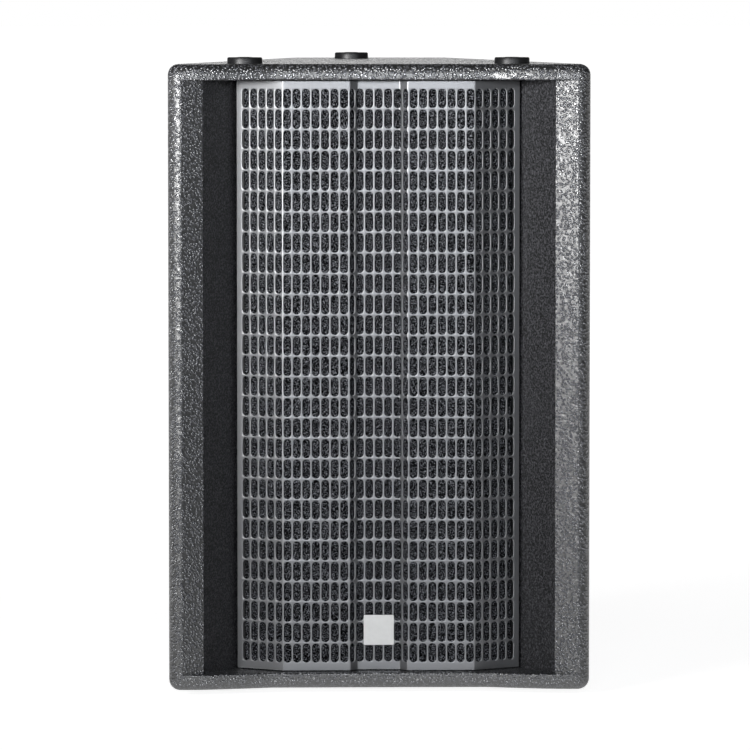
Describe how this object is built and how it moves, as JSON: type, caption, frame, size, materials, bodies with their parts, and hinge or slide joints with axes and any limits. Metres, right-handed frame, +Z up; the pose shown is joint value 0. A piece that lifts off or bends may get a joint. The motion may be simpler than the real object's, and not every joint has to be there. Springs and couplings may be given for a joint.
{
  "type": "line array speaker",
  "caption": "Tapered plywood line array speaker cabinet with a folded slotted steel grille, flared wings, woofers, a waveguide tweeter, side handles, feet and a rear amplifier",
  "frame": {"origin": "on the floor, under the middle of the bounding box", "axes": "+Z up, the grille faces -Y, and +X is on the right of someone looking at the grille"},
  "size_m": [0.39, 0.41, 0.5922],
  "materials": {
    "painted_ply": "black structured paint on birch plywood",
    "wing_paint": "matt black paint on plywood",
    "bare_ply": "bare birch plywood",
    "grille_coat": "dark grey powder coat on perforated steel sheet",
    "foam": "black open-cell acoustic foam",
    "rubber": "moulded black rubber",
    "plate_white": "white lacquered aluminium plate, bare",
    "steel": "zinc-plated steel",
    "socket_coat": "black powder coat on steel",
    "handle_plastic": "grained black nylon",
    "basket_cast": "black lacquered die-cast aluminium",
    "motor_iron": "zinc-plated iron and ferrite",
    "cone_paper": "coated black paper pulp",
    "coil_copper": "copper-clad aluminium wire on a former",
    "spider_cloth": "resin-stiffened cotton",
    "guide_plastic": "black moulded plastic",
    "dome_foil": "thin formed foil",
    "amp_coat": "black powder coat on aluminium sheet",
    "sink_black": "black anodised extruded aluminium",
    "pan_steel": "bright galvanised steel sheet",
    "board_green": "glass-fibre circuit board with parts",
    "transformer": "wound iron ring in yellow tape",
    "fitting_plastic": "black moulded plastic",
    "rocker_red": "red translucent plastic",
    "button_grey": "dark grey plastic",
    "light_green": "green tinted clear plastic"
  },
  "bodies": {
    "cabinet": {"top_panel": "painted_ply", "bottom_panel": "painted_ply", "left_side_panel": "painted_ply", "right_side_panel": "painted_ply", "left_nosing": "painted_ply", "right_nosing": "painted_ply", "rear_panel": "painted_ply", "amp_frame": "bare_ply", "baffle_board": "wing_paint", "left_wing": "wing_paint", "right_wing": "wing_paint", "cross_braces": "bare_ply", "grille": "grille_coat", "grille_foam": "foam", "left_grille_seal": "rubber", "right_grille_seal": "rubber", "badge_plate": "plate_white", "top_feet": "rubber", "bottom_feet": "rubber", "foot_screws": "steel", "rigging_inserts": "steel", "pole_socket": "socket_coat", "pole_socket_screws": "steel", "left_handle": "handle_plastic", "right_handle": "handle_plastic", "handle_screws": "steel", "upper_basket": "basket_cast", "upper_motor": "motor_iron", "upper_surround": "rubber", "upper_spider": "spider_cloth", "lower_basket": "basket_cast", "lower_motor": "motor_iron", "lower_surround": "rubber", "lower_spider": "spider_cloth", "driver_screws": "steel", "waveguide": "guide_plastic", "tweeter_body": "motor_iron", "tweeter_cap": "motor_iron", "tweeter_diaphragm": "dome_foil", "amp_plate": "amp_coat", "heat_sink": "sink_black", "amp_cover": "pan_steel", "amp_board": "board_green", "power_transformer": "transformer", "mains_inlet": "fitting_plastic", "switch_body": "fitting_plastic", "input_socket": "fitting_plastic", "link_socket": "fitting_plastic", "status_lights": "light_green", "amp_screws": "steel"},
    "upper_moving": {"upper_cone": "cone_paper", "upper_dust_cap": "cone_paper", "upper_voice_coil": "coil_copper"},
    "lower_moving": {"lower_cone": "cone_paper", "lower_dust_cap": "cone_paper", "lower_voice_coil": "coil_copper"},
    "knob": {"level_knob": "fitting_plastic"},
    "button": {"mode_button": "button_grey"},
    "rocker": {"power_rocker": "rocker_red"},
    "latch": {"input_latch": "steel"}
  },
  "joints": [
    {"name": "upper_cone_travel", "type": "slide", "parent": "cabinet", "child": "upper_moving", "axis": [0, 1, 0], "range_m": [-0.005, 0.005], "stiffness_N_per_m": 2200, "deforming": ["upper_surround", "upper_spider"]},
    {"name": "lower_cone_travel", "type": "slide", "parent": "cabinet", "child": "lower_moving", "axis": [0, 1, 0], "range_m": [-0.005, 0.005], "stiffness_N_per_m": 2200, "deforming": ["lower_surround", "lower_spider"]},
    {"name": "level_turn", "type": "hinge", "parent": "cabinet", "child": "knob", "pos_m": [-0.03, 0.193, 0.3041], "axis": [0, 1, 0], "range_deg": [-150, 150]},
    {"name": "mode_press", "type": "slide", "parent": "cabinet", "child": "button", "axis": [0, -1, 0], "range_m": [0, 0.0015], "stiffness_N_per_m": 900, "springref_m": -0.001},
    {"name": "power_rock", "type": "hinge", "parent": "cabinet", "child": "rocker", "pos_m": [0, 0.193, 0.1591], "axis": [0, 0, 1], "range_deg": [-14, 0]},
    {"name": "latch_press", "type": "slide", "parent": "cabinet", "child": "latch", "axis": [0, -1, 0], "range_m": [0, 0.002], "stiffness_N_per_m": 900, "springref_m": -0.001}
  ]
}
